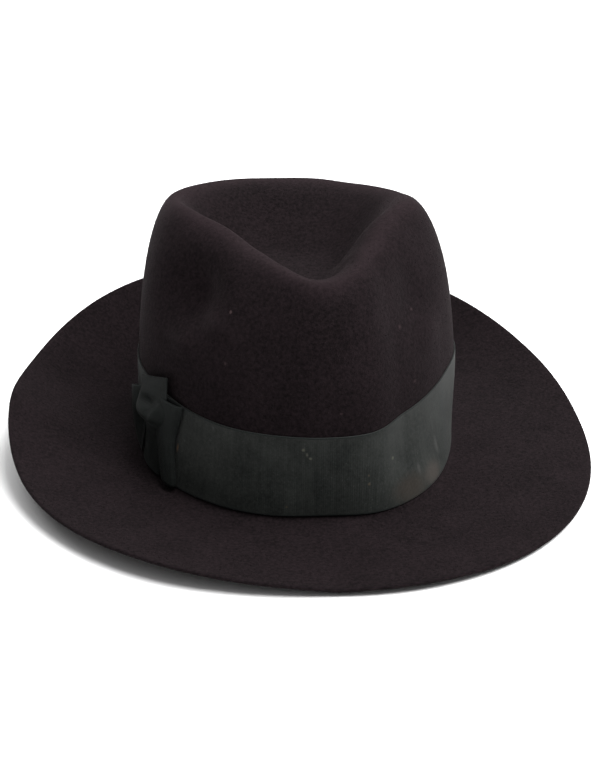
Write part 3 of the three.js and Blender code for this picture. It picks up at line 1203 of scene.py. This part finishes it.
@dataclass
class RibbonBand:
    """The band: one length of ribbon stretched round the crown's foot, in millimetres.

    clearance is its distance from the felt, and top_ease how much further out its upper edge
    ripples. Its length is taken at measured_out from the felt. rows are the heights of its points.
    """

    form: HatForm
    maker: RibbonMaker
    ribs_columns: int = 4
    clearance: float = 0.15
    top_ease: float = 0.25
    ease_power: int = 4
    ripple_waves: tuple[int, int] = (5, 2)
    ripple_turn: float = 40.0
    measured_out: float = 1.0
    rows: tuple[float, ...] = (0.0, 0.4, 0.9, 1.4, 8.0, 15.0, 21.0, 27.0, 34.0, 40.6, 41.1, 41.6, 42.0)

    def runs(self, angle: np.ndarray) -> np.ndarray:
        """Measures the way along the band's middle.

        Args:
            angle: directions in degrees, rising.

        Returns:
            The length from the first direction to each, in millimetres.
        """
        middle = np.full_like(angle, self.form.ribbon_width / 2)
        ring = self.form.beside_wall(angle, middle, np.full_like(angle, self.measured_out))
        return np.concatenate([[0], np.cumsum(np.linalg.norm(np.diff(ring, axis=0), axis=1))])

    def length(self) -> float:
        """Returns the band's length round the crown, in millimetres."""
        return float(self.runs(np.linspace(-180, 180, RING_POINTS))[-1])

    def build(self) -> bpy.types.Object:
        """Makes the band.

        Returns:
            The band's piece.
        """
        form, maker = self.form, self.maker
        columns = round(self.length() / maker.rib_mm) * self.ribs_columns
        angle = np.linspace(-180, 180, FINE_RING_POINTS)
        run = self.runs(angle)
        spaced = np.interp(np.arange(columns) / columns * run[-1], run, angle)
        along = np.arange(columns) / self.ribs_columns * maker.rib_mm
        often, seldom = self.ripple_waves
        waves = np.sin(np.radians(spaced * often)) * np.sin(np.radians(spaced * seldom + self.ripple_turn))
        ripple = 0.5 + 0.5 * waves
        points, flat = [], []
        for across in self.rows:
            out = self.clearance + self.top_ease * ripple * (across / form.ribbon_width) ** self.ease_power
            points.append(form.beside_wall(spaced, np.full_like(spaced, form.break_radius + across), out))
            flat.append(np.stack([along, np.full(columns, across)], -1))
        faces = grid_faces(len(self.rows), columns, closed=True)
        piece = new_piece("ribbon_band_cloth", np.stack(points) * MM, faces, np.stack(flat) * MM)
        maker.finish(piece)
        return piece


@dataclass(frozen=True)
class KnotLevel:
    """One level of the knot.

    up is a share of its height, rear and front its sides in millimetres along the band from the
    bow's middle, depth how far it stands out, and wrap the share of that depth that its sides lose.
    """

    up: float
    rear: float
    front: float
    depth: float
    wrap: float


KNOT_LEVELS = (
    KnotLevel(0.00, -6.0, 17.0, 1.0, 0.90),
    KnotLevel(0.15, -6.0, 17.0, 1.2, 0.90),
    KnotLevel(0.34, -7.0, 16.0, 2.2, 0.90),
    KnotLevel(0.45, -9.5, 16.5, 4.8, 0.85),
    KnotLevel(0.54, -12.0, 19.0, 8.6, 0.80),
    KnotLevel(0.64, -12.0, 20.5, 7.6, 0.60),
    KnotLevel(0.76, -11.0, 20.0, 4.4, 0.30),
    KnotLevel(0.88, -10.5, 19.5, 3.4, 0.15),
    KnotLevel(1.00, -10.5, 19.0, 3.0, 0.10),
)


@dataclass(frozen=True)
class KnotFold:
    """A soft dent or pleat in the knot.

    across and up are its place, and wide and high its size, as shares of the knot's; out is how
    far it stands out in millimetres, below zero for a dent.
    """

    across: float
    wide: float
    up: float
    high: float
    out: float


KNOT_FOLDS = (
    KnotFold(0.46, 0.26, 0.70, 0.05, -3.0),
    KnotFold(0.80, 0.08, 0.57, 0.09, 1.3),
)


@dataclass(frozen=True)
class LoopShape:
    """One loop of the bow, in millimetres along, above and out from the band.

    start and end are how far from the bow's middle it leaves the knot and folds back, slant how
    much further out it leaves the knot for each millimetre lower down, and end_waist how far the
    fold is drawn in. puff is how far it stands out at its fullest, and foot the share of that at
    its lower edge. high is the height of its upper edge at the fold, and lift that of its lower
    edge. at holds shares of its length, and body the share of the puff at each of them.
    """

    name: str
    side: Side
    start: float
    slant: float
    end: float
    end_waist: float
    puff: float
    high: float
    foot: float
    lift: float
    at: tuple[float, ...]
    body: tuple[float, ...]


LOOPS = {
    "bow_front_loop": LoopShape(
        "bow_front_loop_cloth", Side.FRONT, 4.0, 0.60, 30.0, 4.2, 3.2, 42.5, 0.8, 0.0,
        (0.0, 0.25, 0.50, 0.75, 0.88, 0.94, 1.0), (0.15, 0.70, 0.98, 0.92, 0.78, 0.70, 0.55),
    ),
    "bow_rear_loop": LoopShape(
        "bow_rear_loop_cloth", Side.REAR, 3.0, 0.10, 28.0, 2.0, 4.2, 30.0, 0.3, 6.0,
        (0.0, 0.25, 0.50, 0.75, 0.88, 0.94, 1.0), (0.10, 0.45, 0.90, 1.0, 0.85, 0.80, 0.60),
    ),
}


@dataclass
class Bow:
    """The flat bow over the band's join: a knot between two folded loops, in millimetres.

    seat is how far out it lies. The knot's end slants by knot_slant from slant_from of its height
    up, knot_dome is how round its back is, and its levels tilt by level_tilt round tilt_from of
    its width. A loop's points crowd towards its fold. At the knot it is gathered in from below
    and above, with gathers half waves across. Its fold starts at fold_at of its length, filling
    is how soon it fills out over its lower edge, upper_out and lower_out are how far its two
    layers lie out, lower_lift how far the lower one rises at the fold, and least_open how far
    apart they stay.
    """

    form: HatForm
    maker: RibbonMaker
    angle: float = -158.0
    knot_height: float = 53.5
    knot_slant: float = 10.0
    slant_from: float = 0.4
    knot_columns: int = 60
    knot_dome: float = 0.6
    level_tilt: float = 0.05
    tilt_from: float = 0.3
    seat: float = 1.4
    rib_samples: int = 6
    loop_rows: int = 34
    loop_crowding: float = 1.3
    return_rise: float = 28.0
    gathered_below: float = 2.0
    gathered_above: float = 2.5
    gathers: int = 3
    fold_at: float = 0.94
    fold_wide: float = 0.06
    filling: float = 1.6
    upper_out: float = 0.5
    lower_out: float = 0.1
    lower_lift: float = 0.25
    least_open: float = 0.8

    def place(self, along: np.ndarray, above: np.ndarray, out: np.ndarray) -> np.ndarray:
        """Puts a flat place on the band into space.

        Args:
            along: millimetres along the band from the bow's middle.
            above: millimetres above the band's foot.
            out: millimetres out from the band.

        Returns:
            The points.
        """
        turn = 1 / (self.form.oval(np.array(self.angle)) * math.radians(1))
        angle = self.angle + along * turn
        return self.form.beside_wall(angle, self.form.break_radius + above, self.seat + out)

    def build_knot(self) -> bpy.types.Object:
        """Makes the knot, a strip folded round the bow's middle whose end stands up as a tab.

        Returns:
            The knot's piece.
        """
        ribs = round(self.knot_height / self.maker.rib_mm)
        rows, columns = self.rib_samples * ribs + 1, self.knot_columns
        up, across = np.meshgrid(np.linspace(0, 1, rows), np.linspace(0, 1, columns), indexing="ij")
        at = [level.up for level in KNOT_LEVELS]
        tilted = np.clip(up + self.level_tilt * (across - self.tilt_from), 0, 1)
        rear, front, depth, wrap = (
            smooth_curve(at, [getattr(level, name) for level in KNOT_LEVELS], tilted)
            for name in ("rear", "front", "depth", "wrap")
        )
        dome = np.sin(math.pi * across) ** self.knot_dome
        out = depth * (1 - np.clip(wrap, 0, 1) * (1 - dome))
        for fold in KNOT_FOLDS:
            aside, above = (across - fold.across) / fold.wide, (up - fold.up) / fold.high
            out += fold.out * np.exp(-(aside**2) - above**2)
        leaning = np.clip((up - self.slant_from) / (1 - self.slant_from), 0, 1)
        height = self.knot_height * up - self.knot_slant * (1 - across) * leaning
        points = self.place(rear + (front - rear) * across, height, np.maximum(self.lower_out, out))
        flat = np.stack([up * ribs * self.maker.rib_mm, across * self.maker.width_mm], -1)
        piece = new_piece("bow_knot_cloth", points * MM, grid_faces(rows, columns, False), flat * MM)
        piece.data.flip_normals()
        self.maker.finish(piece)
        return piece

    def build_loop(self, shape: LoopShape) -> bpy.types.Object:
        """Makes a loop: ribbon that leaves the knot, folds back at its end and returns underneath.

        Args:
            shape: the loop's sizes.

        Returns:
            The loop's piece.
        """
        ribs = round(2 * (shape.end - shape.start) / self.maker.rib_mm)
        rows, columns = self.loop_rows, self.rib_samples * ribs + 1
        run, across = np.meshgrid(np.linspace(0, 1, columns), np.linspace(0, 1, rows), indexing="xy")
        top = run <= 0.5
        share = np.where(top, run * 2, 2 - run * 2)
        share = 1 - (1 - share) ** self.loop_crowding
        near = (1 - share) ** 2
        low = self.gathered_below * near + shape.lift * share
        width = self.form.ribbon_width
        high = width + (shape.high - width) * share - self.gathered_above * near
        above = low + (high - low) * across
        start = shape.start + shape.slant * np.maximum(0, self.return_rise - above)
        end = shape.end - shape.end_waist * np.sin(math.pi * across) ** 2
        body = smooth_curve(shape.at, shape.body, share) * shape.puff
        fold = np.sqrt(np.clip(1 - ((share - self.fold_at) / self.fold_wide) ** 2, 0, 1))
        ends = np.where(share > self.fold_at, fold, 1.0)
        filled = np.sin(math.pi / 2 * np.clip(across * self.filling, 0, 1))
        fullness = shape.foot + (1 - shape.foot) * filled
        outer = self.upper_out + (body - self.upper_out) * fullness * ends
        outer = outer + near * share * np.cos(across * self.gathers * math.pi)
        inner = self.lower_out + self.lower_lift * (1 - ends) * body
        out = np.where(top, np.maximum(outer, inner + self.least_open * ends), inner)
        points = self.place(shape.side.value * (start + (end - start) * share), above, out)
        flat = np.stack([run * ribs * self.maker.rib_mm, across * self.maker.width_mm], -1)
        piece = new_piece(shape.name, points * MM, grid_faces(rows, columns, False), flat * MM)
        if shape.side is Side.REAR:
            piece.data.flip_normals()
        self.maker.finish(piece)
        return piece


@dataclass(frozen=True)
class Lamp:
    """A broad far lamp: the way towards it, its strength, and its spread in degrees."""

    name: str
    towards: tuple[float, float, float]
    strength: float
    spread: float


LAMPS = (
    Lamp("lamp_high_right", (0.75, -0.25, 1.5), 4.8, 45.0),
    Lamp("lamp_back_right", (1.0, 1.0, 1.2), 1.2, 90.0),
    Lamp("lamp_front", (0.0, -1.0, 1.5), 0.7, 80.0),
    Lamp("lamp_back", (0.0, 1.0, 1.5), 1.5, 80.0),
)


@dataclass
class Studio:
    """The plain floor, the soft lights and the camera."""

    target: Vector
    distance: float = 1.100
    elevation: float = 26.0
    yaw: float = 8.0
    focal_px: float = 2033.0
    sensor_mm: float = 36.0
    centre_px: tuple[float, float] = (297.0, 438.0)
    floor_size: float = 40.0
    sky: float = 0.08

    def camera(self) -> None:
        """Sets the camera at the photograph's angle."""
        lens = bpy.data.cameras.new("camera")
        lens.sensor_width = self.sensor_mm
        lens.lens = self.focal_px * lens.sensor_width / PICTURE_HEIGHT
        lens.shift_x = (PICTURE_WIDTH / 2 - self.centre_px[0]) / PICTURE_HEIGHT
        lens.shift_y = (self.centre_px[1] - PICTURE_HEIGHT / 2) / PICTURE_HEIGHT
        lens.clip_start, lens.clip_end = 0.01, 50.0
        eye = bpy.data.objects.new("camera", lens)
        bpy.context.scene.collection.objects.link(eye)
        lift, turn = math.radians(self.elevation), math.radians(self.yaw)
        back = Vector((-math.cos(lift) * math.sin(turn), -math.cos(lift) * math.cos(turn), math.sin(lift)))
        eye.location = self.target + back * self.distance
        eye.rotation_mode = "QUATERNION"
        eye.rotation_quaternion = (-back).to_track_quat("-Z", "Y")
        bpy.context.scene.camera = eye

    def floor(self) -> None:
        """Lays the pale floor that the hat rests on."""
        half = self.floor_size / 2
        corners = np.array([(-half, -half, 0), (half, -half, 0), (half, half, 0), (-half, half, 0)])
        floor = new_piece("floor", corners, [(0, 1, 2, 3)])
        floor.data.materials.append(WhitePaper().build("matt_white_paper"))

    def light(self) -> None:
        """Lights the hat softly from above, most from the right."""
        scene = bpy.context.scene
        scene.view_settings.view_transform = "Standard"
        scene.world = scene.world or bpy.data.worlds.new("studio")
        scene.world.use_nodes = True
        sky = scene.world.node_tree.nodes["Background"]
        sky.inputs["Color"].default_value = linear("#ffffff")
        sky.inputs["Strength"].default_value = self.sky
        for lamp in LAMPS:
            light = bpy.data.lights.new(lamp.name, "SUN")
            light.energy, light.angle = lamp.strength, math.radians(lamp.spread)
            hung = bpy.data.objects.new(lamp.name, light)
            scene.collection.objects.link(hung)
            hung.rotation_mode = "QUATERNION"
            hung.rotation_quaternion = Vector(lamp.towards).to_track_quat("Z", "Y")


def frame_shift(form: HatForm) -> Vector:
    """Says how far the hat's own middle lies from the frame's, from the CAD felt's box.

    Args:
        form: the hat's shape.

    Returns:
        The level shift in metres.
    """
    low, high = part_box("felt_body")
    edge = form.brim(np.linspace(-180, 180, RING_POINTS), 1.0) * MM
    middle = (edge.min(0) + edge.max(0)) / 2
    return Vector(((low.x + high.x) / 2 - middle[0], (low.y + high.y) / 2 - middle[1], 0.0))


def place_patches(
    form: HatForm, patches: tuple[Patch, ...], out: float, shift: Vector
) -> list[tuple[Patch, Vector]]:
    """Finds where patches on the crown's wall lie in the frame.

    Args:
        form: the hat's shape.
        patches: the patches.
        out: how far out from the felt they lie, in millimetres.
        shift: the hat's shift in the frame.

    Returns:
        Each patch with its middle, in metres.
    """
    placed = []
    for patch in patches:
        above = form.break_radius + patch.above
        spot = form.beside_wall(np.array([patch.angle]), np.array([above]), np.array([out]))[0]
        placed.append((patch, Vector(spot * MM) + shift))
    return placed


def main() -> None:
    """Builds the hat piece by piece, then sets up the studio."""
    logging.basicConfig(level=logging.INFO, format="%(message)s")
    form = HatForm()
    shift = frame_shift(form)
    felt_material = FurFelt().build("fur_felt", place_patches(form, FELT_PATCHES, 0.0, shift))
    patches = place_patches(form, RIBBON_PATCHES, RIBBON_FACE_MM, shift)
    ribbon_material = Grosgrain().build("rayon_grosgrain", patches)
    # The bow's material is a darker copy of the band's: painted shade.
    bow_shaded_material = BOW_SHADED_FINISH.build("rayon_grosgrain_bow_shaded", patches)
    body = FeltBody(form, felt_material)
    felt = body.build()
    maker = RibbonMaker(ribbon_material)
    band = RibbonBand(form, maker)
    bow = Bow(form, RibbonMaker(bow_shaded_material))
    pieces = {"felt_body": felt, "ribbon_band": band.build(), "bow_knot": bow.build_knot()}
    pieces |= {node: bow.build_loop(shape) for node, shape in LOOPS.items()}
    nap = body.build_nap(felt)
    for piece in (*pieces.values(), nap):
        piece.data.transform(Matrix.Translation(shift))
        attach(piece, "root")
        LOG.info("%s: %d faces", piece.name, len(piece.data.polygons))
    for node, piece in pieces.items():
        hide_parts(node)
    band.length() * MM
    studio = Studio(target=shift.copy())
    studio.camera()
    studio.floor()
    studio.light()


if __name__ == "__main__":
    main()
